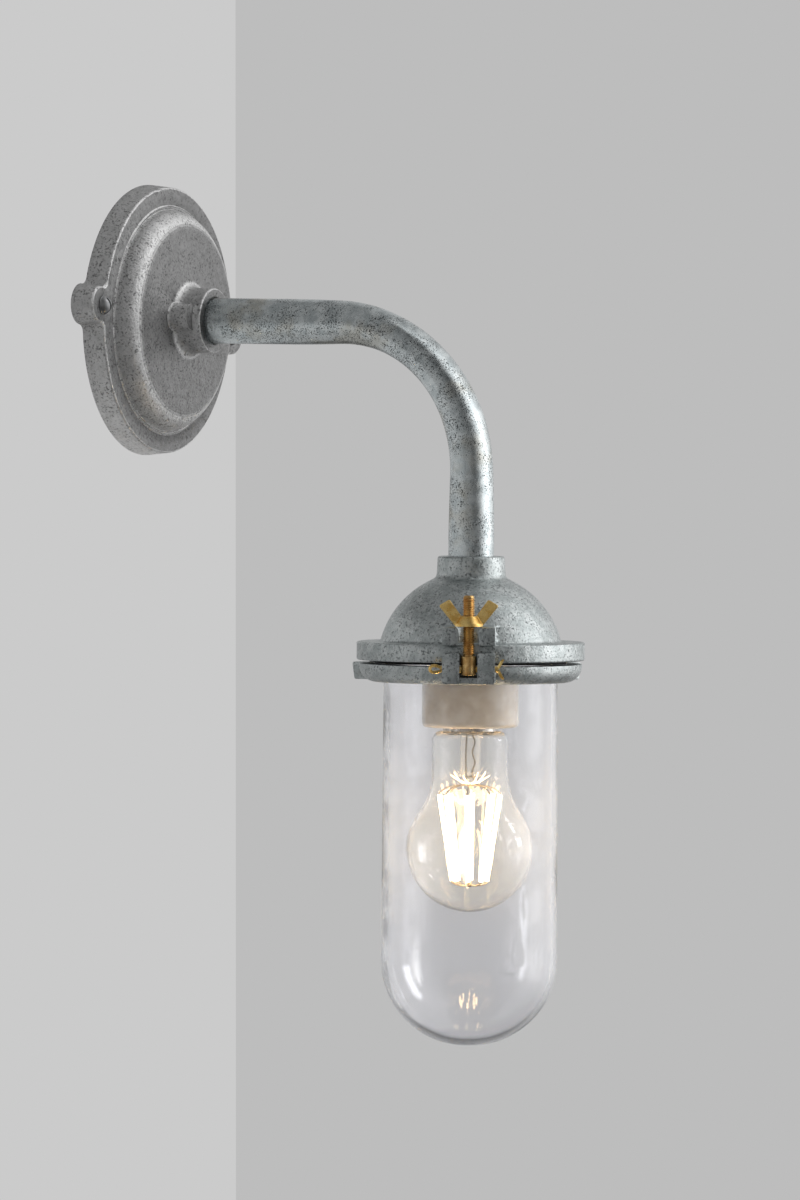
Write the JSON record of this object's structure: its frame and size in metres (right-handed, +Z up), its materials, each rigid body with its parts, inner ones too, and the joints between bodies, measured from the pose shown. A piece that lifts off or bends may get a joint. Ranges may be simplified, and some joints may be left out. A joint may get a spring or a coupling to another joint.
{
  "type": "outdoor bracket light",
  "caption": "Wall-mounted outdoor bracket light: round cast back plate, bent pipe arm and a hanging lamp head with a clear well glass, held by a swing bolt and wing nut.",
  "frame": {"origin": "centre of the wall plate's back plane, on the axis of the pipe where it leaves the plate", "axes": "+X out from the wall along the pipe, +Z up, the lamp head hangs towards -Z"},
  "size_m": [0.2481, 0.1502, 0.3996],
  "materials": {
    "plate_casting": "galvanised, sand-cast",
    "head_casting": "galvanised, sand-cast",
    "galvanised_tube": "galvanised with dark speckle",
    "zinc_steel": "zinc plated",
    "brass": "plain, lightly worn",
    "clear_glass": "clear, polished",
    "bulb_clear_glass": "clear, thin",
    "porcelain": "glazed",
    "block_ceramic": "unglazed",
    "black_rubber": "matt",
    "cap_nickel": "nickel plated",
    "dark_glass": "dark insulating glass",
    "solder": "dull",
    "filament_glow": "lit",
    "support_wire": "bare wire",
    "live_cover": "smooth",
    "neutral_cover": "smooth",
    "earth_cover": "smooth"
  },
  "bodies": {
    "bracket": {"wall_plate": "plate_casting", "wall_screws": "zinc_steel", "terminal_block": "block_ceramic", "block_clamps": "brass", "clamp_screws": "brass", "block_screw": "zinc_steel", "bracket_pipe": "galvanised_tube", "live_lead": "live_cover", "neutral_lead": "neutral_cover", "earth_lead": "earth_cover", "lamp_head": "head_casting", "upper_gasket": "black_rubber", "well_glass": "clear_glass", "lower_gasket": "black_rubber", "glass_ring": "head_casting", "ring_screws": "zinc_steel", "split_pin": "brass", "holder_body": "porcelain", "holder_shell": "brass", "centre_contact": "brass", "holder_strap": "zinc_steel", "strap_screws": "zinc_steel", "holder_screws": "zinc_steel", "earth_screw": "brass", "holder_terminals": "brass", "terminal_screws": "brass"},
    "swing_bolt": {"swing_bolt": "brass"},
    "wing_nut": {"wing_nut": "brass"},
    "bulb": {"bulb_glass": "bulb_clear_glass", "bulb_cap": "cap_nickel", "bulb_insulator": "dark_glass", "bulb_contact": "solder", "bulb_stem": "bulb_clear_glass", "filaments": "filament_glow", "filament_wires": "support_wire"}
  },
  "joints": [
    {"name": "swing_bolt_hinge", "type": "hinge", "parent": "bracket", "child": "swing_bolt", "pos_m": [0.19743, -0.05101, -0.159], "axis": [0.8949, 0.4462, 0], "range_deg": [0, 150]},
    {"name": "wing_nut_turn", "type": "hinge", "parent": "swing_bolt", "child": "wing_nut", "pos_m": [0.19743, -0.05101, -0.1389], "axis": [0, 0, 1], "continuous": true},
    {"name": "bulb_withdraw", "type": "slide", "parent": "bracket", "child": "bulb", "axis": [0, 0, -1], "range_m": [0, 0.03]}
  ]
}
